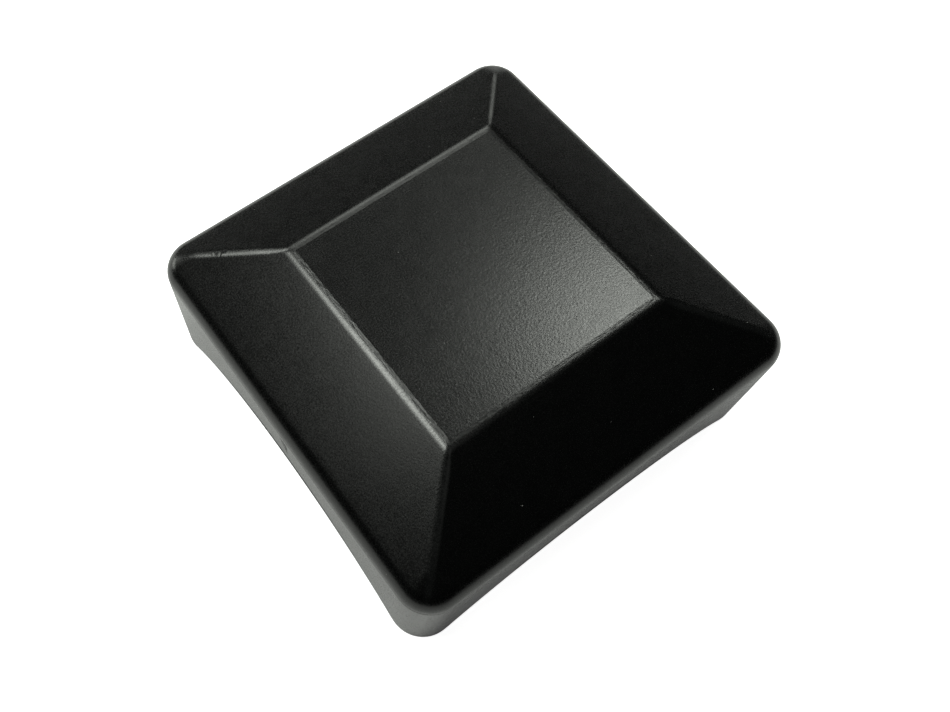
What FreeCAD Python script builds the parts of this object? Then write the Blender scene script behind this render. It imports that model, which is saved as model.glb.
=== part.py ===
import FreeCAD, Part
import math
import os

# Moulded cap that slips over the top of a square timber fence post.
# Millimetres. The cap stands on its four corner feet at z = 0, +Z is up,
# and the origin is the middle of the feet plane.
# The cap has a flat square panel on top, four bevels, a rounded rim and a skirt with an arch in each side.

V = FreeCAD.Vector

# ---- driving dimensions ----
POST_SIZE = 75.0            # side of the square post that the cap is made for
RIM_HALF = 41.0             # half width across the top of the skirt
SKIRT_DEPTH = 23.5          # feet plane up to where the rim's rounding starts
SKIRT_DRAFT = math.radians(0.5)
RIM_RADIUS = 4.2            # rounding between skirt and bevel
CORNER_RADIUS = 6.3         # vertical corners of the skirt, seen from above
RIDGE_RADIUS = 1.4          # ridges between two bevels, seen from above
BEVEL_ANGLE = math.radians(25.7)
PANEL_HALF = 21.4           # half side of the flat top panel
BAND_WIDTH = 1.35           # narrow band that rings the panel
BAND_ANGLE = math.radians(7.0)
WALL = 2.4                  # moulded wall thickness
ARCH_RADIUS = 49.0          # arch in each side of the skirt
ARCH_CROWN = 13.9           # height of the arch's crown above the feet
FOOT_RADIUS = 2.5           # rounding where the arch runs down into a foot
RIM_STEPS = 6

# ---- inside the cap ----
RIB_WIDTH = 1.6
RIB_BOTTOM = 25.1           # lower edge of the roof's ribs
BOSS_OFFSET = 13.0          # pad bosses stand at plus and minus this, in x and y
BOSS_SIZE = 16.0
BOSS_WALL = 1.8
BOSS_BOTTOM = 26.1
GRIP_OFFSET = 24.0          # grip ribs stand at plus and minus this along each side
GRIP_RADIUS = 1.2
GRIP_SINK = 0.5             # how far a grip rib's axis lies inside the wall
GRIP_TIP_RADIUS = 0.6
GRIP_BOTTOM = 9.0
GRIP_LEAD = 2.0
GRIP_TOP = 25.5

# ---- adhesive pads ----
PAD_SIZE = 15.0
PAD_THICKNESS = 1.5
LINER_THICKNESS = 0.15
LINER_TAB_LENGTH = 4.0
LINER_TAB_WIDTH = 9.0

# ---- chip beside the middle of the -X side, just under the rim ----
CHIP_WIDTH = 2.4
CHIP_HEIGHT = 5.0
CHIP_DEPTH = 1.5
CHIP_TOP = 22.4
CHIP_OFFSET = -1.8

REACH = 60.0                # longer than anything in the cap


def skirt_half(z, wall=0.0):
    """Half width of the drafted skirt at a height, or of its inside with wall taken off."""
    return RIM_HALF - wall + (SKIRT_DEPTH - z) * math.tan(SKIRT_DRAFT)


def profile(wall):
    """Half width and height up the side of the cap, from the feet to the panel.

    With wall above 0 it is the inside, which runs parallel to the outside."""
    centre_half = RIM_HALF - RIM_RADIUS
    radius = RIM_RADIUS - wall
    points = [(skirt_half(0.0, wall), 0.0)]
    sweep = math.pi / 2 - BEVEL_ANGLE
    for step in range(RIM_STEPS + 1):
        angle = sweep * step / RIM_STEPS
        points.append((centre_half + radius * math.cos(angle), SKIRT_DEPTH + radius * math.sin(angle)))

    bevel_start_half, bevel_start_z = points[-1]
    bevel_slope = math.tan(BEVEL_ANGLE)
    # where the rounded corner has shrunk to the ridge's radius
    ridge_half = RIM_HALF - wall - (CORNER_RADIUS - RIDGE_RADIUS)
    points.append((ridge_half, bevel_start_z + (bevel_start_half - ridge_half) * bevel_slope))
    # an offset surface meets its neighbour nearer the middle
    band_half = PANEL_HALF + BAND_WIDTH - wall * math.tan((BEVEL_ANGLE + BAND_ANGLE) / 2)
    band_z = bevel_start_z + (bevel_start_half - band_half) * bevel_slope
    panel_half = PANEL_HALF - wall * math.tan(BAND_ANGLE / 2)
    points.append((band_half, band_z))
    points.append((panel_half, band_z + (band_half - panel_half) * math.tan(BAND_ANGLE)))
    return points


def rounded_square(half, radius, z):
    """Closed wire of four sides and four corner arcs."""
    edges = []
    for quarter in range(4):
        angle = quarter * math.pi / 2
        turn = FreeCAD.Rotation(V(0, 0, 1), math.degrees(angle))
        inner = half - radius
        diagonal = radius * math.sqrt(0.5)
        start = turn.multVec(V(half, -inner, z))
        end = turn.multVec(V(half, inner, z))
        middle = turn.multVec(V(inner + diagonal, inner + diagonal, z))
        next_start = turn.multVec(V(inner, half, z))
        edges.append(Part.LineSegment(start, end).toShape())
        edges.append(Part.Arc(end, middle, next_start).toShape())
    return Part.Wire(edges)


def body(wall):
    """Solid inside the profile: the whole cap, or with a wall its hollow."""
    rings = []
    for half, z in profile(wall):
        inset = RIM_HALF - wall - min(half, RIM_HALF - wall)
        radius = max(CORNER_RADIUS - wall - inset, RIDGE_RADIUS)
        rings.append(rounded_square(half, radius, z))
    return Part.makeLoft(rings, True, True)


def arch_cutter():
    """What the arches in the +Y and -Y sides remove, right through the cap."""
    centre_z = ARCH_CROWN - ARCH_RADIUS
    foot_x = math.sqrt((ARCH_RADIUS + FOOT_RADIUS) ** 2 - (FOOT_RADIUS - centre_z) ** 2)
    share = ARCH_RADIUS / (ARCH_RADIUS + FOOT_RADIUS)
    tangent_x = foot_x * share
    tangent_z = centre_z + (FOOT_RADIUS - centre_z) * share
    # the foot's rounding is met half way between its two ends
    half_turn = math.atan2(foot_x, FOOT_RADIUS - centre_z) / 2
    round_x = foot_x - FOOT_RADIUS * math.sin(half_turn)
    round_z = FOOT_RADIUS - FOOT_RADIUS * math.cos(half_turn)
    y = -REACH
    below = -2.0
    edges = [
        Part.LineSegment(V(-foot_x, y, below), V(foot_x, y, below)).toShape(),
        Part.LineSegment(V(foot_x, y, below), V(foot_x, y, 0)).toShape(),
        Part.Arc(V(foot_x, y, 0), V(round_x, y, round_z), V(tangent_x, y, tangent_z)).toShape(),
        Part.Arc(V(tangent_x, y, tangent_z), V(0, y, ARCH_CROWN), V(-tangent_x, y, tangent_z)).toShape(),
        Part.Arc(V(-tangent_x, y, tangent_z), V(-round_x, y, round_z), V(-foot_x, y, 0)).toShape(),
        Part.LineSegment(V(-foot_x, y, 0), V(-foot_x, y, below)).toShape(),
    ]
    return Part.Face(Part.Wire(edges)).extrude(V(0, 2 * REACH, 0))


def turned(shape, degrees):
    """Copy turned about the cap's vertical axis."""
    copy = shape.copy()
    copy.rotate(V(0, 0, 0), V(0, 0, 1), degrees)
    return copy


def roof_ribs():
    """Cross webs and corner ribs under the roof, longer than the cap and still to be trimmed."""
    web = Part.makeBox(2 * REACH, RIB_WIDTH, REACH, V(-REACH, -RIB_WIDTH / 2, RIB_BOTTOM))
    boss_corner = (BOSS_OFFSET + BOSS_SIZE / 2 - BOSS_WALL / 2) * math.sqrt(2)
    corner_rib = Part.makeBox(REACH, RIB_WIDTH, REACH, V(boss_corner, -RIB_WIDTH / 2, RIB_BOTTOM))
    ribs = [web, turned(web, 90)]
    ribs += [turned(corner_rib, 45 + 90 * quarter) for quarter in range(4)]
    return ribs


def pad_boss():
    """Square tube that hangs from the roof and carries one adhesive pad."""
    outer = Part.makeBox(BOSS_SIZE, BOSS_SIZE, REACH, V(-BOSS_SIZE / 2, -BOSS_SIZE / 2, BOSS_BOTTOM))
    inside = BOSS_SIZE - 2 * BOSS_WALL
    hollow = Part.makeBox(inside, inside, REACH, V(-inside / 2, -inside / 2, BOSS_BOTTOM))
    return outer.cut(hollow)


def pad_places():
    """Name, middle and turn of each pad, round the cap."""
    names = ["back_right", "back_left", "front_left", "front_right"]
    places = []
    for quarter, name in enumerate(names):
        angle = math.radians(45 + 90 * quarter)
        x = math.copysign(BOSS_OFFSET, math.cos(angle))
        y = math.copysign(BOSS_OFFSET, math.sin(angle))
        places.append((name, x, y, 90 * quarter))
    return places


def grip_rib():
    """One upright rib with a tapered lower end, on the inside of the +X side."""
    axis_x = skirt_half(GRIP_BOTTOM, WALL) + GRIP_SINK
    foot = V(axis_x, GRIP_OFFSET, GRIP_BOTTOM)
    tip = Part.makeCone(GRIP_TIP_RADIUS, GRIP_RADIUS, GRIP_LEAD, foot, V(0, 0, 1))
    straight_length = GRIP_TOP - GRIP_BOTTOM - GRIP_LEAD
    straight = Part.makeCylinder(GRIP_RADIUS, straight_length, foot + V(0, 0, GRIP_LEAD), V(0, 0, 1))
    return tip.fuse(straight)


def gate_chip():
    """Three-sided chip where the sprue broke away, in the outside of the -X side."""
    clearance = 1.0
    x = -skirt_half(CHIP_TOP) - clearance
    corners = [
        V(x, CHIP_OFFSET + CHIP_WIDTH / 2, CHIP_TOP - CHIP_HEIGHT / 8),
        V(x, CHIP_OFFSET - CHIP_WIDTH / 2, CHIP_TOP),
        V(x, CHIP_OFFSET - CHIP_WIDTH / 3, CHIP_TOP - CHIP_HEIGHT),
    ]
    outline = Part.makePolygon(corners + corners[:1])
    return Part.Face(outline).extrude(V(clearance + CHIP_DEPTH, 0, 0))


def cap_shell():
    """The one-piece moulding: roof, rim, skirt with its arches, and the ribs inside."""
    outside = body(0.0)
    shell = outside.cut(body(WALL))
    inner_parts = roof_ribs()
    for _, x, y, _ in pad_places():
        boss = pad_boss()
        boss.translate(V(x, y, 0))
        inner_parts.append(boss)
    trimmed = [piece.common(outside) for piece in inner_parts]
    for quarter in range(4):
        rib = grip_rib()
        mirrored = rib.mirror(V(0, 0, 0), V(0, 1, 0))
        trimmed += [turned(rib, 90 * quarter), turned(mirrored, 90 * quarter)]
    shell = shell.fuse(trimmed)
    shell = shell.cut([arch_cutter(), turned(arch_cutter(), 90), gate_chip()])
    return shell.removeSplitter()


def foam_pad(x, y):
    """Double-sided foam pad under one boss."""
    low = V(x - PAD_SIZE / 2, y - PAD_SIZE / 2, BOSS_BOTTOM - PAD_THICKNESS)
    return Part.makeBox(PAD_SIZE, PAD_SIZE, PAD_THICKNESS, low)


def release_liner(x, y, degrees):
    """Peel-off liner under one pad, with a finger tab towards the nearest side."""
    z = BOSS_BOTTOM - PAD_THICKNESS - LINER_THICKNESS
    half = PAD_SIZE / 2
    sheet = Part.makeBox(PAD_SIZE, PAD_SIZE, LINER_THICKNESS, V(-half, -half, z))
    tab = Part.makeBox(
        LINER_TAB_LENGTH + half, LINER_TAB_WIDTH, LINER_THICKNESS, V(0, -LINER_TAB_WIDTH / 2, z)
    )
    liner = turned(sheet.fuse(tab).removeSplitter(), degrees)
    liner.translate(V(x, y, 0))
    return liner


def save(node, shape):
    """Write one node's STEP after checking that it is sound."""
    if not shape.isValid() or shape.Volume <= 0:
        raise ValueError(node + " is not a valid solid")
    shape.exportStep("parts/" + node + ".step")
    print(node, len(shape.Solids), "solid", round(shape.Volume, 1), "mm3")


def main():
    os.makedirs("parts", exist_ok=True)
    shell = cap_shell()
    save("cap_shell", shell)
    for name, x, y, degrees in pad_places():
        save("foam_pad_" + name, foam_pad(x, y))
        save("release_liner_" + name, release_liner(x, y, degrees))
    print("height", round(shell.BoundBox.ZMax, 2), "width", round(shell.BoundBox.XLength, 2))
    print("room beside the post", round(skirt_half(SKIRT_DEPTH, WALL) - POST_SIZE / 2, 2))


main()
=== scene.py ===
import math
import random

import bmesh
import bpy
import numpy as np
from mathutils import Matrix, Vector


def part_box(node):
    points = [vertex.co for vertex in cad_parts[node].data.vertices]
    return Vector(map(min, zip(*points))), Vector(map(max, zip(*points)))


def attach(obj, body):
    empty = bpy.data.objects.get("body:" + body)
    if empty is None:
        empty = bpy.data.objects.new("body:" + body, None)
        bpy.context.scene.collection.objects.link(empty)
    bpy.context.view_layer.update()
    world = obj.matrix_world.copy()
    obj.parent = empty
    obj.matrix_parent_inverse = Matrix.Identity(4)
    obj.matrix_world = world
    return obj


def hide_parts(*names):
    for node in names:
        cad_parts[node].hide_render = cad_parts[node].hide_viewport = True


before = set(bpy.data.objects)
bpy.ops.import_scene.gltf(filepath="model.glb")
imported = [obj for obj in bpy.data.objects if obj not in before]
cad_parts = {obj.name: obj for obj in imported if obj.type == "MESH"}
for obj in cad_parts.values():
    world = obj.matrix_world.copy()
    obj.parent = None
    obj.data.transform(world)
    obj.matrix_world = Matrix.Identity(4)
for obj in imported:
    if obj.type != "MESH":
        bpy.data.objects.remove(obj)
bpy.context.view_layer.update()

# A moulded black cap for a square fence post, standing on its four corner feet.
# Shapes are worked out in millimetres and written to the meshes in metres.
MM = 0.001

# ---- outer box of the moulding, from the frame ----
shell_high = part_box("cap_shell")[1]
FOOT_HALF = shell_high.x / MM
CAP_HEIGHT = shell_high.z / MM

# ---- the moulding ----
RIM_HALF = 41.0                 # half width where the skirt meets the rim's rounding
SKIRT_DEPTH = 23.5              # height of that line above the feet
RIM_RADIUS = 4.2
CORNER_RADIUS = 6.3             # vertical corners, seen from above
RIDGE_RADIUS = 1.4              # ridges between two bevels, seen from above
PANEL_CORNER_RADIUS = 0.35      # corners of the panel, seen from above
CORNER_FADE = 2.5               # band widths over which the panel's corners grow to the ridges' radius
BEVEL_ANGLE = math.radians(25.7)
PANEL_HALF = 21.4
BAND_WIDTH = 1.35               # narrow band round the panel
BAND_ANGLE = math.radians(7.0)
BAND_ROUNDING = 4.2             # between bevel and band
CREASE_ROUNDING = 0.5           # between band and panel
WALL = 2.4
ARCH_RADIUS = 49.0
ARCH_CROWN = 13.9
FOOT_RADIUS = 2.5
LIP_ROUNDING = 0.3              # lower edge of the skirt
LINE_DEPTH = 0.06               # witness line between skirt and rim
LINE_WIDTH = 0.36
LINE_SHARES = (0.15, 0.3, 0.5, 0.8, 1.2)    # rings below the line, in widths of the line

# ---- inside the moulding ----
RIB_WIDTH = 1.6
RIB_BOTTOM = 25.1
BOSS_OFFSET = 13.0
BOSS_SIZE = 16.0
BOSS_WALL = 1.8
BOSS_BOTTOM = 26.1
GRIP_OFFSET = 24.0
GRIP_RADIUS = 1.2
GRIP_SINK = 0.5
GRIP_TIP_RADIUS = 0.6
GRIP_BOTTOM = 9.0
GRIP_LEAD = 2.0
GRIP_TOP = 25.5
GRIP_END_SHARE = 0.6            # of the tip's radius, at its very end
GRIP_END_LENGTH = 0.2
EDGE_BEVEL = 0.2                # moulded edges of ribs and bosses
BEVEL_STEPS = 2
BEVEL_REACH = 0.1               # how far above a rib's lower edge its bevelled edges may lie
SINK = 0.3                      # how far above a web's lower edge its roof line starts
LINE_STRIDE = 3                 # webs use every third point of the roof's profile
PIN_RADIUS = 2.0                # ejector pin marks on the underside of the roof
PIN_HEIGHT = 0.12
PIN_ROUNDING = (0.1, 0.05)      # at its rim, sideways and upwards
PIN_ROOT = 0.4                  # how far a mark's disc reaches into the roof
PIN_PLACES = ((29.0, 8.0), (8.0, -29.0), (-29.0, -8.0), (-8.0, 29.0))

# ---- chip in the -X side ----
CHIP_WIDTH = 2.4
CHIP_HEIGHT = 5.0
CHIP_DEPTH = 1.5
CHIP_TOP = 22.4
CHIP_OFFSET = -1.8
CUT_CLEARANCE = 1.0             # how far the cutter stands out of the skirt

# ---- nicks in the ridge between the -X and +Y bevels: half width, turn, length, width, depth ----
NICKS = ((31.2, 38.0, 1.8, 0.22, 0.16), (32.5, 60.0, 0.9, 0.16, 0.10))

# ---- foam pads and release liners ----
PAD_NAMES = ("back_right", "back_left", "front_left", "front_right")
PAD_CORNER = 0.5
PAD_PIT = 0.09                  # cut cells along a pad's sides
PAD_SECTIONS = ((0.0, 0.08), (0.04, 0.0), (0.2, 0.05), (0.35, 0.1), (0.5, 0.12), (0.65, 0.1), (0.8, 0.05),
                (0.96, 0.0), (1.0, 0.08))   # share of the height, how far the side lies in
TAB_HALF = 4.5
TAB_CORNER = 1.5
TAB_DROP = 0.55                 # how far a tab's end hangs
TAB_RIPPLE = 0.12
TAB_WAVE = 3.0                  # radians of ripple along a tab
LINER_STEPS = 16
SEED = 75                       # for the cut cells and the tabs' ripples

# ---- how finely the moulding is meshed ----
SIDE_STEPS = 88
CORNER_STEPS = 16
SKIRT_STEPS = 20
LIP_STEPS = 4
PANEL_STEPS = 9
CREASE_STEPS = 3
BAND_STEPS = 3
SHOULDER_STEPS = 8
SLOPE_STEPS = 16
RIM_STEPS = 14
LINE_STEPS = 5
PANEL_START = 1.0               # half width of the small face in the middle of the panel
EVEN_SHARE = 0.35               # of a side's points, spread evenly; the rest crowd towards its ends
BAR_SIDES = 24
PIN_SIDES = 40

# ---- edges that stay sharp in smooth shading, in degrees ----
SHELL_SHARP = 35
PAD_SHARP = 50
BEVELLED_ABOVE = 40             # sharper edges of ribs and bosses are rounded

SKIRT_DRAFT = math.atan2(FOOT_HALF - RIM_HALF, SKIRT_DEPTH)


# ======================================================================
# Profile: points (half width, height) from the middle of the top down the outside
# ======================================================================

def rounding(centre_half, centre_z, radius, angle_from, angle_to, steps):
    """Arc of the profile. Angles are the surface normal's, measured from straight up."""
    angles = np.linspace(angle_from, angle_to, steps + 1)
    return [(centre_half + radius * math.sin(a), centre_z + radius * math.cos(a)) for a in angles]


def rounded_corner(corner, radius, angle_from, angle_to, steps):
    """Rounding of the corner between two straight stretches of the profile."""
    middle = (angle_from + angle_to) / 2
    reach = radius / math.cos((angle_to - angle_from) / 2)
    centre_half = corner[0] - reach * math.sin(middle)
    centre_z = corner[1] - reach * math.cos(middle)
    return rounding(centre_half, centre_z, radius, angle_from, angle_to, steps)


def straight(start, end, steps):
    """Points between two ends of a straight stretch, without the ends."""
    shares = np.arange(1, steps) / steps
    return [(start[0] + (end[0] - start[0]) * s, start[1] + (end[1] - start[1]) * s) for s in shares]


def skirt_half(z, wall=0.0):
    return RIM_HALF - wall + (SKIRT_DEPTH - z) * math.tan(SKIRT_DRAFT)


def key_corners(wall):
    """Where bevel and band, and band and panel, would meet without their roundings."""
    rim_centre = RIM_HALF - RIM_RADIUS
    radius = RIM_RADIUS - wall
    start_half = rim_centre + radius * math.sin(BEVEL_ANGLE)
    start_z = SKIRT_DEPTH + radius * math.cos(BEVEL_ANGLE)
    band_half = PANEL_HALF + BAND_WIDTH - wall * math.tan((BEVEL_ANGLE + BAND_ANGLE) / 2)
    band_z = start_z + (start_half - band_half) * math.tan(BEVEL_ANGLE)
    panel_half = PANEL_HALF - wall * math.tan(BAND_ANGLE / 2)
    panel_z = band_z + (band_half - panel_half) * math.tan(BAND_ANGLE)
    return (band_half, band_z), (panel_half, panel_z)


def roof_profile(wall):
    """From near the middle of the top, over the panel, band and bevel, to the end of the rim's rounding."""
    band, panel = key_corners(wall)
    crease = rounded_corner(panel, CREASE_ROUNDING, 0.0, BAND_ANGLE, CREASE_STEPS)
    shoulder = rounded_corner(band, BAND_ROUNDING, BAND_ANGLE, BEVEL_ANGLE, SHOULDER_STEPS)
    centre_half, radius = RIM_HALF - RIM_RADIUS, RIM_RADIUS - wall
    near_line = math.pi / 2 - LINE_SHARES[-1] * LINE_WIDTH / RIM_RADIUS
    rim = rounding(centre_half, SKIRT_DEPTH, radius, BEVEL_ANGLE, near_line, RIM_STEPS)
    rim += rounding(centre_half, SKIRT_DEPTH, radius, near_line, math.pi / 2, LINE_STEPS)[1:]
    middle = (PANEL_START, panel[1])
    points = [middle]
    points += straight(middle, crease[0], PANEL_STEPS)
    points += crease
    points += straight(crease[-1], shoulder[0], BAND_STEPS)
    points += shoulder
    points += straight(shoulder[-1], rim[0], SLOPE_STEPS)
    points += rim
    return points


def corner_radius(half, wall):
    """Radius of the plan corners at a half width: large on the skirt, small on the ridges and the panel."""
    edge = RIM_HALF - wall
    radius = max(CORNER_RADIUS - wall - (edge - min(half, edge)), RIDGE_RADIUS)
    fade = min(max((half - PANEL_HALF) / (CORNER_FADE * BAND_WIDTH), 0.0), 1.0)
    return PANEL_CORNER_RADIUS + (radius - PANEL_CORNER_RADIUS) * fade


# ======================================================================
# Rings: rounded squares with the same number of points, so that they join into one grid
# ======================================================================

def side_shares():
    """Places along the straight part of a side from -1 to 1, closer together near its ends."""
    s = np.linspace(-1.0, 1.0, SIDE_STEPS + 1)
    return EVEN_SHARE * s + (1 - EVEN_SHARE) * np.sin(s * math.pi / 2)


def ring(half, radius):
    """Plan points of one rounded square, as an array of x and y."""
    inner = half - radius
    side = [(half, inner * s) for s in side_shares()]
    arc = np.linspace(0.0, math.pi / 2, CORNER_STEPS + 1)[1:-1]
    corner = [(inner + radius * math.cos(a), inner + radius * math.sin(a)) for a in arc]
    quarter = np.array(side + corner)
    turns = [np.array([[math.cos(a), math.sin(a)], [-math.sin(a), math.cos(a)]])
             for a in np.arange(4) * math.pi / 2]
    return np.concatenate([quarter @ turn for turn in turns])


def arch_height(along):
    """Height of the skirt's lower edge at a distance from the middle of a side."""
    centre_z = ARCH_CROWN - ARCH_RADIUS
    foot = math.sqrt((ARCH_RADIUS + FOOT_RADIUS) ** 2 - (FOOT_RADIUS - centre_z) ** 2)
    tangent = foot * ARCH_RADIUS / (ARCH_RADIUS + FOOT_RADIUS)
    x = np.abs(along)
    arch = centre_z + np.sqrt(np.maximum(ARCH_RADIUS ** 2 - x ** 2, 0.0))
    rounded = FOOT_RADIUS - np.sqrt(np.maximum(FOOT_RADIUS ** 2 - (foot - x) ** 2, 0.0))
    return np.where(x < tangent, arch, np.where(x < foot, rounded, 0.0))


def lower_edge(plan):
    """Height of the skirt's lower edge at each plan point of a ring."""
    along = np.minimum(np.abs(plan[:, 0]), np.abs(plan[:, 1]))
    return arch_height(along)


def flat_ring(half, z, radius):
    plan = ring(half, radius)
    return np.column_stack([plan, np.full(len(plan), z)])


def skirt_ring(wall, heights):
    """Ring of the drafted skirt whose points each have their own height."""
    radius = CORNER_RADIUS - wall
    top, bottom = ring(skirt_half(SKIRT_DEPTH, wall), radius), ring(skirt_half(0.0, wall), radius)
    share = (SKIRT_DEPTH - heights) / SKIRT_DEPTH
    return np.column_stack([top + (bottom - top) * share[:, None], heights])


def skirt_rings(wall, shares):
    """Rings from the skirt's top line, share 0, to its lower edge, share 1, which follows the arches."""
    low = lower_edge(ring(skirt_half(0.0, wall), CORNER_RADIUS - wall)) + LIP_ROUNDING
    return [skirt_ring(wall, SKIRT_DEPTH + (low - SKIRT_DEPTH) * share) for share in shares]


def lip_rings():
    """Rounded lower edge of the skirt, from the outside to the inside."""
    angles = np.linspace(0.0, math.pi / 2, LIP_STEPS + 1)[1:]
    rings = []
    for wall, turns in ((0.0, angles), (WALL, angles[::-1])):
        for angle in turns:
            inset = LIP_ROUNDING * (1 - math.cos(angle))
            half = skirt_half(0.0, wall) + (inset if wall else -inset)
            plan = ring(half, CORNER_RADIUS - (FOOT_HALF - half))
            rings.append(np.column_stack([plan, lower_edge(plan) + LIP_ROUNDING * (1 - math.sin(angle))]))
    return rings


def with_witness_line(rings):
    """Press the thin moulding line into the outer rings that lie near the skirt's top line."""
    marked = []
    for points in rings:
        points = np.array(points)
        depth = LINE_DEPTH * np.exp(-((points[:, 2] - SKIRT_DEPTH) / (LINE_WIDTH / 2)) ** 2)
        half = np.abs(points[:, :2]).max(axis=1)
        points[:, :2] *= (1 - depth / half)[:, None]
        marked.append(points)
    return marked


def shell_rings():
    """All rings of the shell, from the middle of the top, down the outside and up the inside."""
    rings = [flat_ring(half, z, corner_radius(half, 0.0)) for half, z in roof_profile(0.0)]
    near_line = [LINE_WIDTH * share for share in LINE_SHARES]
    full = np.full(len(rings[0]), SKIRT_DEPTH)
    rings += [skirt_ring(0.0, full - drop) for drop in near_line]
    start = near_line[-1] / (SKIRT_DEPTH - ARCH_CROWN)
    rings += skirt_rings(0.0, np.linspace(start, 1.0, SKIRT_STEPS + 1)[1:])
    rings = with_witness_line(rings)
    rings += lip_rings()
    rings += skirt_rings(WALL, np.linspace(1.0, 0.0, SKIRT_STEPS // 2)[:-1])
    rings += [flat_ring(half, z, corner_radius(half, WALL)) for half, z in reversed(roof_profile(WALL))]
    return rings


def mesh_piece(name, vertices, faces):
    """New object from points in millimetres."""
    mesh = bpy.data.meshes.new(name)
    mesh.from_pydata((np.asarray(vertices) * MM).tolist(), [], faces)
    mesh.validate()
    piece = bpy.data.objects.new(name, mesh)
    bpy.context.scene.collection.objects.link(piece)
    return piece


def lofted(name, rings):
    """Closed skin over a list of rings, with a face over the first and the last."""
    count = len(rings[0])
    faces = []
    for row in range(len(rings) - 1):
        a, b = row * count, (row + 1) * count
        for i in range(count):
            j = (i + 1) % count
            faces.append((a + j, a + i, b + i, b + j))
    last = (len(rings) - 1) * count
    faces.append(tuple(range(count)))
    faces.append(tuple(last + i for i in reversed(range(count))))
    return mesh_piece(name, np.concatenate(rings), faces)


# ======================================================================
# Inside the cap
# ======================================================================

def extruded(name, outline, width):
    """Upright plate in the XZ plane, as thick as width, centred on y = 0."""
    count = len(outline)
    vertices = [(x, side * width / 2, z) for side in (-1, 1) for x, z in outline]
    faces = [tuple(range(count)), tuple(range(2 * count - 1, count - 1, -1))]
    faces += [(i, i + count, (i + 1) % count + count, (i + 1) % count) for i in range(count)]
    return mesh_piece(name, vertices, faces)


def turned(piece, degrees, x=0.0, y=0.0):
    """Turn a piece about the vertical axis and shift it, in millimetres, by changing its mesh."""
    turn = Matrix.Rotation(math.radians(degrees), 4, "Z")
    piece.data.transform(Matrix.Translation((x * MM, y * MM, 0)) @ turn)
    return piece


def bevelled(piece, width, only_below):
    """Round the sharp edges of a piece that lie below a height in millimetres."""
    mesh = bmesh.new()
    mesh.from_mesh(piece.data)
    bmesh.ops.recalc_face_normals(mesh, faces=mesh.faces)
    sharp = math.radians(BEVELLED_ABOVE)
    edges = [e for e in mesh.edges if len(e.link_faces) == 2 and e.calc_face_angle() > sharp
             and max(v.co.z for v in e.verts) < only_below * MM]
    bmesh.ops.bevel(mesh, geom=edges, offset=width * MM, segments=BEVEL_STEPS, profile=0.5, affect="EDGES")
    mesh.to_mesh(piece.data)
    mesh.free()
    return piece


def roof_line(wall, low):
    """Profile points of the inside of the roof above a height, from the side to the middle."""
    return [(half, z) for half, z in reversed(roof_profile(wall)) if z > low + SINK]


def cross_web(degrees):
    """Web under the whole roof, which runs from wall to wall."""
    line = roof_line(WALL / 2, RIB_BOTTOM)[::LINE_STRIDE]
    outline = [(-line[0][0], RIB_BOTTOM), (line[0][0], RIB_BOTTOM)]
    outline += line + [(-half, z) for half, z in reversed(line)]
    web = extruded("web", outline, RIB_WIDTH)
    return turned(bevelled(web, EDGE_BEVEL, RIB_BOTTOM + BEVEL_REACH), degrees)


def corner_rib(degrees):
    """Rib from a pad boss out to the cap's corner, along the diagonal."""
    start = (BOSS_OFFSET + BOSS_SIZE / 2 - BOSS_WALL / 2) * math.sqrt(2)
    line = []
    for half, z in roof_line(WALL / 2, RIB_BOTTOM)[::LINE_STRIDE]:
        radius = corner_radius(half, WALL / 2)
        diagonal = (half - radius) * math.sqrt(2) + radius
        if diagonal > start:
            line.append((diagonal, z))
    outline = [(start, RIB_BOTTOM), (line[0][0], RIB_BOTTOM)] + line + [(start, line[-1][1])]
    rib = extruded("corner_rib", outline, RIB_WIDTH)
    return turned(bevelled(rib, EDGE_BEVEL, RIB_BOTTOM + BEVEL_REACH), 45 + degrees)


def pad_boss(x, y):
    """Square tube that hangs from the roof and carries one adhesive pad."""
    top = CAP_HEIGHT - WALL / 2
    rings = []
    outer, inner = BOSS_SIZE / 2, BOSS_SIZE / 2 - BOSS_WALL
    for half, z in ((outer, top), (outer, BOSS_BOTTOM), (inner, BOSS_BOTTOM), (inner, top)):
        rings.append([(half * sx, half * sy, z) for sx, sy in ((1, 1), (-1, 1), (-1, -1), (1, -1))])
    vertices = [point for square in rings for point in square]
    faces = []
    for row in range(4):
        for i in range(4):
            j = (i + 1) % 4
            a, b = row * 4, (row + 1) % 4 * 4
            faces.append((a + i, a + j, b + j, b + i))
    boss = bevelled(mesh_piece("boss", vertices, faces), EDGE_BEVEL, top - BEVEL_REACH)
    return turned(boss, 0, x, y)


def round_bar(name, x, y, sections, sides):
    """Upright round bar from (radius, height) sections."""
    angles = np.arange(sides) * 2 * math.pi / sides
    rings = [np.column_stack([x + r * np.cos(angles), y + r * np.sin(angles), np.full(sides, z)])
             for r, z in reversed(sections)]
    return lofted(name, rings)


def grip_rib(side, degrees):
    """Upright rib with a tapered lower end on the inside of the skirt."""
    axis = skirt_half(GRIP_BOTTOM, WALL) + GRIP_SINK
    sections = [(GRIP_TIP_RADIUS * GRIP_END_SHARE, GRIP_BOTTOM),
                (GRIP_TIP_RADIUS, GRIP_BOTTOM + GRIP_END_LENGTH),
                (GRIP_RADIUS, GRIP_BOTTOM + GRIP_LEAD), (GRIP_RADIUS, GRIP_TOP)]
    return turned(round_bar("grip", axis, side * GRIP_OFFSET, sections, BAR_SIDES), degrees)


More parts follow.
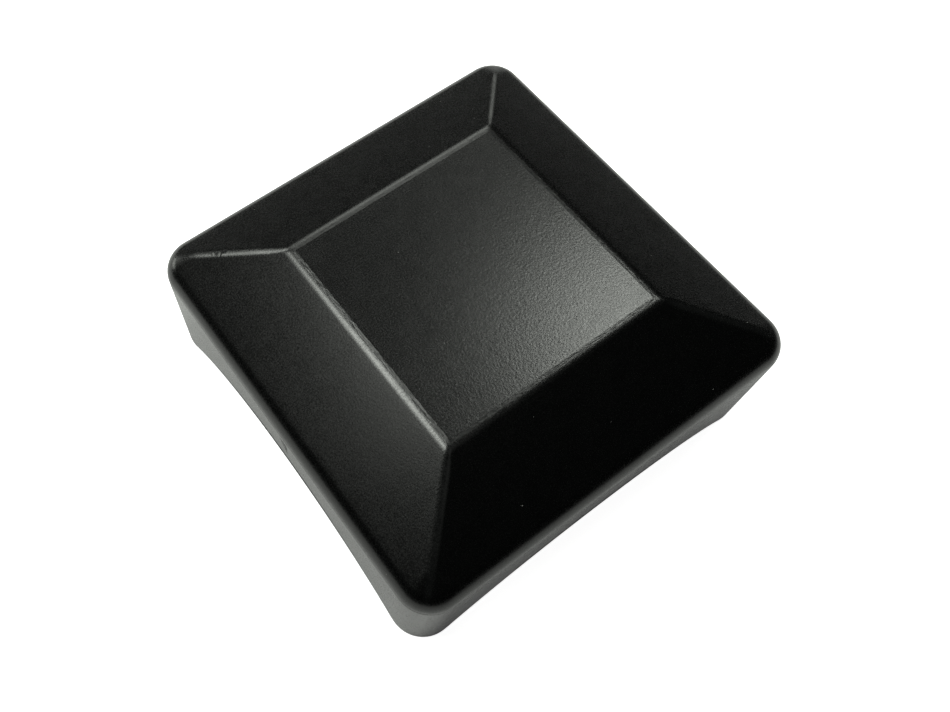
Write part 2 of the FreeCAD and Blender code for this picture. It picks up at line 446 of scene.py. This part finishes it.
def pin_mark(x, y):
    """Disc left on the underside of the roof by an ejector pin."""
    z = roof_height(max(abs(x), abs(y)), WALL)
    low = z - PIN_HEIGHT
    inset, rise = PIN_ROUNDING
    sections = [(PIN_RADIUS - inset, low), (PIN_RADIUS, low + rise), (PIN_RADIUS, z + PIN_ROOT)]
    return round_bar("pin_mark", x, y, sections, PIN_SIDES)


def roof_height(half, wall):
    """Height of the roof at a half width."""
    halves, heights = zip(*roof_profile(wall))
    return float(np.interp(half, halves, heights))


def gate_chip():
    """Three-sided pit where the sprue broke away from the -X side."""
    outside, deep = -skirt_half(CHIP_TOP) - CUT_CLEARANCE, -skirt_half(CHIP_TOP) + CHIP_DEPTH
    outline = [(CHIP_OFFSET + CHIP_WIDTH / 2, CHIP_TOP - CHIP_HEIGHT / 8),
               (CHIP_OFFSET - CHIP_WIDTH / 2, CHIP_TOP),
               (CHIP_OFFSET - CHIP_WIDTH / 3, CHIP_TOP - CHIP_HEIGHT)]
    vertices = [(x, y, z) for x in (outside, deep) for y, z in outline]
    faces = [(0, 1, 2), (5, 4, 3)] + [(i, i + 3, (i + 1) % 3 + 3, (i + 1) % 3) for i in range(3)]
    return mesh_piece("chip", vertices, faces)


def combine(piece, others, operation):
    """Join other pieces to a piece, or cut them out of it, as solids."""
    for other in others:
        modifier = piece.modifiers.new("solid", "BOOLEAN")
        modifier.solver = "MANIFOLD"
        modifier.operation = operation
        modifier.object = other
    bpy.context.view_layer.update()
    solid = bpy.data.meshes.new_from_object(piece.evaluated_get(bpy.context.evaluated_depsgraph_get()))
    piece.modifiers.clear()
    piece.data = solid
    for other in others:
        bpy.data.objects.remove(other)
    return piece


def smoothed(piece, degrees):
    """Smooth shading, with edges sharper than an angle left sharp."""
    piece.data.polygons.foreach_set("use_smooth", [True] * len(piece.data.polygons))
    piece.data.set_sharp_from_angle(angle=math.radians(degrees))
    return piece


def nick(half, turn, length, width, depth):
    """Small V-shaped cut across the ridge between the -X and +Y bevels, at a half width of the roof."""
    ridge_half = half + RIDGE_RADIUS * (1 - math.sqrt(0.5))
    bottom = roof_height(ridge_half, 0.0) - depth
    vertices = [(-length / 2, 0, bottom - depth / 3), (length / 2, 0, bottom + depth / 3)]
    top = bottom + 2 * depth
    vertices += [(along * length / 2, side * width, top) for along in (-1, 1) for side in (-1, 1)]
    faces = [(0, 1, 4, 2), (1, 0, 3, 5), (0, 2, 3), (1, 5, 4), (2, 4, 5, 3)]
    return turned(mesh_piece("nick", vertices, faces), turn, -half, half)


def cap_moulding():
    """The whole moulding as one closed solid."""
    inside = [cross_web(0), cross_web(90)]
    inside += [corner_rib(degrees) for degrees in (0, 90, 180, 270)]
    inside += [pad_boss(x, y) for x in (-BOSS_OFFSET, BOSS_OFFSET) for y in (-BOSS_OFFSET, BOSS_OFFSET)]
    inside += [grip_rib(side, degrees) for side in (-1, 1) for degrees in (0, 90, 180, 270)]
    inside += [pin_mark(x, y) for x, y in PIN_PLACES]
    ribs = combine(inside[0], inside[1:], "UNION")
    shell = combine(lofted("cap_moulding", shell_rings()), [ribs], "UNION")
    combine(shell, [gate_chip()] + [nick(*place) for place in NICKS], "DIFFERENCE")
    return smoothed(shell, SHELL_SHARP)


# ======================================================================
# Foam pads and their release liners
# ======================================================================

def foam_pad(name, node, random_source):
    """Die-cut foam square: sides pulled in a little at half height, with cut cells along them."""
    low, high = (np.array(corner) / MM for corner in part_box(node))
    middle, half = (low + high) / 2, (high[0] - low[0]) / 2
    rings = []
    for share, inset in PAD_SECTIONS:
        plan = ring(half - inset, PAD_CORNER)
        z = low[2] + (high[2] - low[2]) * share
        if 0 < share < 1:
            pits = np.array([random_source.random() for _ in plan]) ** 2 * PAD_PIT
            plan = plan * (1 - pits / half)[:, None]
        rings.append(np.column_stack([plan + middle[:2], np.full(len(plan), z)]))
    return smoothed(lofted(name, rings[::-1]), PAD_SHARP)


def tab_half_width(x, end):
    """Half width at x of a liner's finger tab, whose outer corners are rounded."""
    over = max(x - end + TAB_CORNER, 0.0)
    return TAB_HALF - TAB_CORNER + math.sqrt(max(TAB_CORNER ** 2 - over ** 2, 0.0))


def release_liner(name, node, pad_node, random_source):
    """Paper square with a finger tab that hangs down a little."""
    low, high = (np.array(corner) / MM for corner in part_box(node))
    pad_low, pad_high = (np.array(corner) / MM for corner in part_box(pad_node))
    middle, half = (pad_low + pad_high) / 2, (pad_high[0] - pad_low[0]) / 2
    reach = {0: high[0] - pad_high[0], 90: high[1] - pad_high[1],
             180: pad_low[0] - low[0], 270: pad_low[1] - low[1]}
    degrees = max(reach, key=reach.get)
    tab_length = reach[degrees]
    wave = random_source.uniform(0, 2 * math.pi)
    sheet = bmesh.new()
    across = np.linspace(-1, 1, 2 * LINER_STEPS + 1)
    square_lines = sorted(set(np.round(np.concatenate([across * TAB_HALF, (-half, half), across * half]), 4)))
    rows = []
    for x in np.linspace(-half, half, 2 * LINER_STEPS + 1):
        rows.append([sheet.verts.new((x, y, 0.0)) for y in square_lines])
    add_quads(sheet, rows)
    rows = []
    for share in np.linspace(0, 1, LINER_STEPS + 1):
        x = half + tab_length * math.sin(share * math.pi / 2)
        side = tab_half_width(x, half + tab_length)
        ripple = TAB_RIPPLE * share * math.sin(wave + TAB_WAVE * share)
        drop = TAB_DROP * share ** 2
        rows.append([sheet.verts.new((x, side * t, -drop + ripple * t)) for t in across])
    add_quads(sheet, rows)
    bmesh.ops.remove_doubles(sheet, verts=sheet.verts, dist=1e-3)
    mesh = bpy.data.meshes.new(name)
    bmesh.ops.scale(sheet, vec=(MM, MM, MM), verts=sheet.verts)
    sheet.to_mesh(mesh)
    sheet.free()
    liner = bpy.data.objects.new(name, mesh)
    bpy.context.scene.collection.objects.link(liner)
    thick = liner.modifiers.new("thickness", "SOLIDIFY")
    thick.thickness = (high[2] - low[2]) * MM
    thick.offset = -1
    bpy.context.view_layer.update()
    liner.data = bpy.data.meshes.new_from_object(liner.evaluated_get(bpy.context.evaluated_depsgraph_get()))
    liner.modifiers.clear()
    turned(liner, degrees, middle[0], middle[1])
    liner.data.transform(Matrix.Translation((0, 0, high[2] * MM)))
    return smoothed(liner, PAD_SHARP)


def add_quads(mesh, rows):
    """Faces between neighbouring rows of vertices."""
    for row, next_row in zip(rows, rows[1:]):
        for i in range(len(row) - 1):
            mesh.faces.new((row[i], next_row[i], next_row[i + 1], row[i + 1]))


# ======================================================================
# Materials
# ======================================================================

# ---- black plastic, sizes in millimetres; the grain shows as soft blobs under half a millimetre across ----
GRAIN_SIZE = 0.36
GRAIN_DEPTH = 0.026
BEVEL_GRAIN = 0.38              # share of the grain that the bevels have, beside the panel's
GRAIN_FADE = 0.3                # inside the panel's edge, over which the grain changes
SPECKLE_SIZE = 0.26
SPECKLE_SHARE = 0.8             # of the change in roughness; the patches make the rest
PATCH_SIZE = 3.5
BLACK_LOW = (0.0007, 0.0008, 0.0008)
BLACK_HIGH = (0.0013, 0.0015, 0.0015)
BLACK_WORN = (0.006, 0.0064, 0.0064)
ROUGH_LOW, ROUGH_HIGH = 0.20, 0.32
NOISE_LOW, NOISE_HIGH = 0.3, 0.7    # span that holds nearly all of a noise's values

# ---- band round the panel ----
# beyond the panel's edge, where the ripple starts, is full, fades and ends
BAND_EDGES = (-0.05, 0.1, 0.55, 0.8)
BAND_HEIGHTS = (33.6, 34.0)     # heights that keep the ripple to the top of the roof
BAND_ROUGHER = 0.05
RIPPLE_SIZE = 0.30
RIPPLE_STRETCH = 0.22           # makes the ripple's waves longer along a side
RIPPLE_STRENGTH = 0.9
RIPPLE_DEPTH = 0.07

# ---- ridges between the bevels ----
RIDGE_REACH = (0.3, 1.2)        # from a ridge's line, where its wear starts to fade and ends
RIDGE_START = (23.0, 24.0)      # half widths between which the wear sets in
RIDGE_SMOOTHER = 0.02

# ---- dust ----
DUST_COLOUR = (0.30, 0.30, 0.29)
DUST_SPACING = 2.6
DUST_RADIUS = 0.075
DUST_EDGE = 0.7                 # share of a speck's radius where its edge starts to fade
DUST_SHARE = 0.42
DUST_ROUGHER = 0.5
DUST_STRENGTH = 0.5
DUST_HEIGHT = 0.03

# ---- foam and paper ----
CELL_SIZE = 0.28
CELL_DEPTH = 0.08
CELL_STRENGTH = 0.8
# foam colour in the cells' hollows, darker by painted shade, and on the cells' rims
FOAM_SHADED_HOLLOW = (0.03, 0.03, 0.032)
FOAM_CELL_RIM = (0.075, 0.075, 0.078)
FOAM_PATCH = 0.8
FOAM_ROUGH = (0.8, 0.95)
FIBRE_SIZE = 0.5
FIBRE_DEPTH = 0.02
FIBRE_STRENGTH = 0.25
PAPER_PATCH = 4.0
PAPER_DARK = (0.80, 0.78, 0.70)
PAPER_LIGHT = (0.88, 0.87, 0.82)
PAPER_ROUGH = (0.32, 0.42)


class Nodes:
    """Short way to build one material's node tree."""

    def __init__(self, name):
        self.material = bpy.data.materials.new(name)
        self.material.use_nodes = True
        self.tree = self.material.node_tree
        self.shader = self.tree.nodes["Principled BSDF"]
        self.place = self.add("ShaderNodeTexCoord").outputs["Object"]

    def add(self, kind, **settings):
        node = self.tree.nodes.new(kind)
        for name, value in settings.items():
            setattr(node, name, value)
        return node

    def link(self, output, socket):
        self.tree.links.new(output, socket)

    def noise(self, size, detail=2.0, roughness=0.5):
        """Noise whose blobs are about size millimetres across."""
        return self.noise_at(self.place, size * MM, detail, roughness)

    def noise_at(self, place, size, detail, roughness):
        """Noise over any vector, with blobs about size across in the vector's own units."""
        node = self.add("ShaderNodeTexNoise")
        node.inputs["Scale"].default_value = 1 / size
        node.inputs["Detail"].default_value = detail
        node.inputs["Roughness"].default_value = roughness
        self.link(place, node.inputs["Vector"])
        return node.outputs["Fac"]

    def vector(self, x, y, z):
        node = self.add("ShaderNodeCombineXYZ")
        for output, socket in zip((x, y, z), node.inputs):
            self.link(output, socket)
        return node.outputs[0]

    def cap_places(self):
        """Places on the cap in millimetres: half width of the square through a point, distance along its
        side, how far the point is from a ridge line, and height."""
        split = self.add("ShaderNodeSeparateXYZ")
        self.link(self.place, split.inputs[0])
        x, y, z = (self.math("DIVIDE", output, MM) for output in split.outputs)
        out_x, out_y = self.math("ABSOLUTE", x), self.math("ABSOLUTE", y)
        half = self.math("MAXIMUM", out_x, out_y)
        on_x_side = self.math("GREATER_THAN", out_x, out_y)
        along = self.math("ADD", self.math("MULTIPLY", on_x_side, y),
                          self.math("MULTIPLY", self.math("SUBTRACT", 1.0, on_x_side), x))
        lag = self.math("ABSOLUTE", self.math("SUBTRACT", out_x, out_y))
        return half, along, lag, z

    def window(self, value, start, full, end, none):
        """1 between full and end, fading to 0 at start and none."""
        rise = self.spread(value, start, full, 0.0, 1.0)
        fall = self.spread(value, end, none, 1.0, 0.0)
        return self.math("MULTIPLY", rise, fall)

    def specks(self, spacing, radius, share):
        """1 on small round specks, 0 elsewhere, with spacing and radius in millimetres."""
        cells = self.add("ShaderNodeTexVoronoi")
        cells.inputs["Scale"].default_value = 1 / (spacing * MM)
        self.link(self.place, cells.inputs["Vector"])
        edge = radius / spacing
        near = self.spread(cells.outputs["Distance"], DUST_EDGE * edge, edge, 1.0, 0.0)
        return self.math("MULTIPLY", near, self.math("LESS_THAN", cells.outputs["Color"], share))

    def math(self, operation, a, b=0.0, clamp=False):
        node = self.add("ShaderNodeMath", operation=operation, use_clamp=clamp)
        for socket, value in zip(node.inputs, (a, b)):
            if isinstance(value, (int, float)):
                socket.default_value = value
            else:
                self.link(value, socket)
        return node.outputs[0]

    def spread(self, value, low, high, to_low, to_high):
        """Straight-line map of a value from one span to another."""
        node = self.add("ShaderNodeMapRange")
        for socket, number in zip(list(node.inputs)[1:5], (low, high, to_low, to_high)):
            socket.default_value = number
        self.link(value, node.inputs["Value"])
        return node.outputs["Result"]

    def blend(self, share, first, second):
        node = self.add("ShaderNodeMix", data_type="RGBA")
        self.link(share, node.inputs["Factor"])
        for socket, colour in zip((node.inputs[6], node.inputs[7]), (first, second)):
            if isinstance(colour, tuple):
                socket.default_value = (*colour, 1.0)
            else:
                self.link(colour, socket)
        return node.outputs[2]

    def bump(self, layers):
        """Bump from (height output, strength, depth in millimetres) layers."""
        normal = None
        for height, strength, depth in layers:
            node = self.add("ShaderNodeBump")
            node.inputs["Distance"].default_value = depth * MM
            if isinstance(strength, (int, float)):
                node.inputs["Strength"].default_value = strength
            else:
                self.link(strength, node.inputs["Strength"])
            self.link(height, node.inputs["Height"])
            if normal is not None:
                self.link(normal, node.inputs["Normal"])
            normal = node.outputs["Normal"]
        self.link(normal, self.shader.inputs["Normal"])


def black_plastic():
    """Black plastic with a fine moulded grain, worn smoother on its ridges, with a little dust."""
    nodes = Nodes("moulded_plastic")
    half, along, lag, height = nodes.cap_places()
    grain = nodes.noise(GRAIN_SIZE, 2.0, 0.55)
    speckle = nodes.noise(SPECKLE_SIZE, 1.0, 0.5)
    patches = nodes.noise(PATCH_SIZE, 3.0, 0.6)
    band = nodes.window(half, *(PANEL_HALF + edge for edge in BAND_EDGES))
    band = nodes.math("MULTIPLY", band, nodes.spread(height, *BAND_HEIGHTS, 0.0, 1.0))
    ridge = nodes.spread(lag, *RIDGE_REACH, 1.0, 0.0)
    ridge = nodes.math("MULTIPLY", ridge, nodes.spread(half, *RIDGE_START, 0.0, 1.0))
    dust = nodes.specks(DUST_SPACING, DUST_RADIUS, DUST_SHARE)

    plain = nodes.blend(patches, BLACK_LOW, BLACK_HIGH)
    worn = nodes.blend(nodes.math("MULTIPLY", ridge, patches), plain, BLACK_WORN)
    nodes.link(nodes.blend(dust, worn, DUST_COLOUR), nodes.shader.inputs["Base Color"])

    gloss = nodes.math("ADD", nodes.math("MULTIPLY", speckle, SPECKLE_SHARE),
                       nodes.math("MULTIPLY", patches, 1 - SPECKLE_SHARE))
    gloss = nodes.spread(gloss, NOISE_LOW, NOISE_HIGH, ROUGH_LOW, ROUGH_HIGH)
    gloss = nodes.math("ADD", gloss, nodes.math("MULTIPLY", band, BAND_ROUGHER))
    gloss = nodes.math("SUBTRACT", gloss, nodes.math("MULTIPLY", ridge, RIDGE_SMOOTHER))
    gloss = nodes.math("ADD", gloss, nodes.math("MULTIPLY", dust, DUST_ROUGHER), True)
    nodes.link(gloss, nodes.shader.inputs["Roughness"])

    stretched = nodes.vector(half, nodes.math("MULTIPLY", along, RIPPLE_STRETCH), height)
    ripple = nodes.noise_at(stretched, RIPPLE_SIZE, 2.0, 0.6)
    ripple_strength = nodes.math("MULTIPLY", band, RIPPLE_STRENGTH)
    grain_strength = nodes.spread(half, PANEL_HALF - GRAIN_FADE, PANEL_HALF, 1.0, BEVEL_GRAIN)
    nodes.bump([(grain, grain_strength, GRAIN_DEPTH), (ripple, ripple_strength, RIPPLE_DEPTH),
                (dust, DUST_STRENGTH, DUST_HEIGHT)])
    return nodes.material


def foam():
    """Dark closed-cell foam, with painted shade in the hollows of its cells."""
    nodes = Nodes("closed_cell_foam")
    cells = nodes.add("ShaderNodeTexVoronoi")
    cells.inputs["Scale"].default_value = 1 / (CELL_SIZE * MM)
    nodes.link(nodes.place, cells.inputs["Vector"])
    # painted shade: the colour is darker towards each cell's middle, where the bump below makes a hollow
    colour = nodes.blend(cells.outputs["Distance"], FOAM_SHADED_HOLLOW, FOAM_CELL_RIM)
    nodes.link(colour, nodes.shader.inputs["Base Color"])
    rough = nodes.spread(nodes.noise(FOAM_PATCH), NOISE_LOW, NOISE_HIGH, *FOAM_ROUGH)
    nodes.link(rough, nodes.shader.inputs["Roughness"])
    nodes.bump([(cells.outputs["Distance"], CELL_STRENGTH, CELL_DEPTH)])
    return nodes.material


def liner_paper():
    """Siliconed paper: pale, slightly glossy, with faint fibres."""
    nodes = Nodes("siliconed_paper")
    fibres = nodes.noise(FIBRE_SIZE, 6.0, 0.7)
    colour = nodes.blend(nodes.noise(PAPER_PATCH, 3.0), PAPER_DARK, PAPER_LIGHT)
    nodes.link(colour, nodes.shader.inputs["Base Color"])
    rough = nodes.spread(fibres, NOISE_LOW, NOISE_HIGH, *PAPER_ROUGH)
    nodes.link(rough, nodes.shader.inputs["Roughness"])
    nodes.bump([(fibres, FIBRE_STRENGTH, FIBRE_DEPTH)])
    return nodes.material


# ======================================================================
# Floor, light and camera
# ======================================================================

# ---- floor and backdrop ----
FLOOR_SIZE = 6.0                    # metres
FLOOR_CELLS = 8
FLOOR_GAP = 0.0001                  # keeps the sheet off the feet's flat ends
GLOW_NEAR, GLOW_FAR = 0.16, 0.6     # metres from the cap between which the glow fades
FAR_GLOW = 0.03
FLOOR_GLOW = 0.13
EYE_GLOW = 0.95                     # the sheet's glow as the camera sees it
SHEET_GREY = (0.8, 0.8, 0.8, 1.0)
SHEET_ROUGH = 0.9
WHITE = (1.0, 1.0, 1.0, 1.0)
BACKDROP = 0.95                     # pale to the camera, nearly dark to the cap
DARK_STUDIO = 0.004
LAMP_COLOUR = (0.96, 1.0, 0.93)

# ---- lamps: name, angle from +X towards +Y, elevation, width, height, watts ----
SOFTBOXES = [
    ("key", 11.0, 58.0, 0.18, 0.15, 0.95),
    ("key_side", 36.0, 54.0, 0.13, 0.16, 0.035),
    ("left", 133.0, 66.0, 0.22, 0.20, 1.9),
    ("left_low", 145.0, 54.0, 0.25, 0.12, 0.16),
    ("back_left", 101.0, 37.0, 0.24, 0.12, 0.76),
    ("back_right", 62.0, 35.0, 0.26, 0.18, 0.54),
    ("ridge", 43.0, 12.0, 0.08, 0.10, 0.05),
    ("rim", 120.0, 9.0, 0.20, 0.14, 0.37),
    ("front_top", -85.0, 70.0, 0.20, 0.20, 0.05),
]
LAMP_DISTANCE = 0.6
LAMP_TARGET = Vector((0.0, 0.0, 0.03))

# ---- camera: close, from above and from the front left, a little rolled; millimetres ----
CAMERA_ANGLE = math.radians(-32.09)
CAMERA_ELEVATION = math.radians(65.78)
CAMERA_ROLL = math.radians(-3.688)
CAMERA_DISTANCE = 156.63
CAMERA_TARGET = Vector((-24.82, 2.45, 23.5))
CAMERA_LENS = 33.69
CAMERA_SHIFT = (0.1369, 0.0140)
CAMERA_SENSOR = 36.0
CAMERA_RANGE = (0.005, 20.0)        # metres


def pale_floor():
    """Large pale sheet under the cap. It glows faintly on the cap, and strongly only to the camera."""
    bpy.ops.mesh.primitive_grid_add(x_subdivisions=FLOOR_CELLS, y_subdivisions=FLOOR_CELLS, size=FLOOR_SIZE)
    floor = bpy.context.object
    floor.name = "floor"
    floor.location.z = -FLOOR_GAP
    nodes = Nodes("pale_floor")
    nodes.shader.inputs["Base Color"].default_value = SHEET_GREY
    nodes.shader.inputs["Roughness"].default_value = SHEET_ROUGH
    nodes.shader.inputs["Emission Color"].default_value = WHITE
    distance = nodes.add("ShaderNodeVectorMath", operation="LENGTH")
    nodes.link(nodes.place, distance.inputs[0])
    glow = nodes.spread(distance.outputs["Value"], GLOW_NEAR, GLOW_FAR, FLOOR_GLOW, FAR_GLOW)
    eye = nodes.add("ShaderNodeLightPath").outputs["Is Camera Ray"]
    glow = nodes.math("MAXIMUM", glow, nodes.math("MULTIPLY", eye, EYE_GLOW))
    nodes.link(glow, nodes.shader.inputs["Emission Strength"])
    floor.data.materials.append(nodes.material)
    return floor


def softbox(name, angle, elevation, width, height, watts):
    """Rectangular soft lamp that faces the cap."""
    light = bpy.data.lights.new(name, "AREA")
    light.shape = "RECTANGLE"
    light.size, light.size_y = width, height
    light.energy = watts
    light.color = LAMP_COLOUR
    lamp = bpy.data.objects.new(name, light)
    bpy.context.scene.collection.objects.link(lamp)
    a, e = math.radians(angle), math.radians(elevation)
    away = Vector((math.cos(a) * math.cos(e), math.sin(a) * math.cos(e), math.sin(e)))
    lamp.location = LAMP_TARGET + away * LAMP_DISTANCE
    lamp.rotation_mode = "QUATERNION"
    lamp.rotation_quaternion = away.to_track_quat("Z", "Y")
    return lamp


def make_camera():
    data = bpy.data.cameras.new("camera")
    camera = bpy.data.objects.new("camera", data)
    bpy.context.scene.collection.objects.link(camera)
    data.sensor_width = CAMERA_SENSOR
    data.lens = CAMERA_LENS
    data.shift_x, data.shift_y = CAMERA_SHIFT
    data.clip_start, data.clip_end = CAMERA_RANGE
    a, e = CAMERA_ANGLE, CAMERA_ELEVATION
    back = Vector((math.sin(a) * math.cos(e), -math.cos(a) * math.cos(e), math.sin(e)))
    right = Vector((math.cos(a), math.sin(a), 0.0))
    axes = Matrix((right, back.cross(right), back)).transposed()
    axes = axes @ Matrix.Rotation(CAMERA_ROLL, 3, "Z")
    camera.matrix_world = Matrix.Translation((CAMERA_TARGET + back * CAMERA_DISTANCE) * MM) @ axes.to_4x4()
    bpy.context.scene.camera = camera
    return camera


def backdrop():
    """Plain world: a dark studio for the cap, behind a pale backdrop for the eye."""
    world = bpy.data.worlds.new("backdrop")
    bpy.context.scene.world = world
    world.use_nodes = True
    tree = world.node_tree
    level = tree.nodes.new("ShaderNodeMapRange")
    level.inputs["To Min"].default_value = DARK_STUDIO
    level.inputs["To Max"].default_value = BACKDROP
    tree.links.new(tree.nodes.new("ShaderNodeLightPath").outputs["Is Camera Ray"], level.inputs["Value"])
    tree.links.new(level.outputs["Result"], tree.nodes["Background"].inputs["Strength"])
    tree.nodes["Background"].inputs["Color"].default_value = WHITE


bpy.context.scene.view_settings.view_transform = "Standard"
bpy.context.scene.view_settings.look = "None"
make_camera()
backdrop()
pale_floor()
for box in SOFTBOXES:
    softbox(*box)

shell = cap_moulding()
shell.data.materials.clear()
shell.data.materials.append(black_plastic())
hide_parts("cap_shell")
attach(shell, "root")

chance = random.Random(SEED)
foam_material, paper_material = foam(), liner_paper()
for corner in PAD_NAMES:
    pad = foam_pad("pad_" + corner, "foam_pad_" + corner, chance)
    pad.data.materials.append(foam_material)
    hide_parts("foam_pad_" + corner)
    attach(pad, "root")
    liner = release_liner("liner_" + corner, "release_liner_" + corner, "foam_pad_" + corner, chance)
    liner.data.materials.append(paper_material)
    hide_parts("release_liner_" + corner)
    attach(liner, "root")
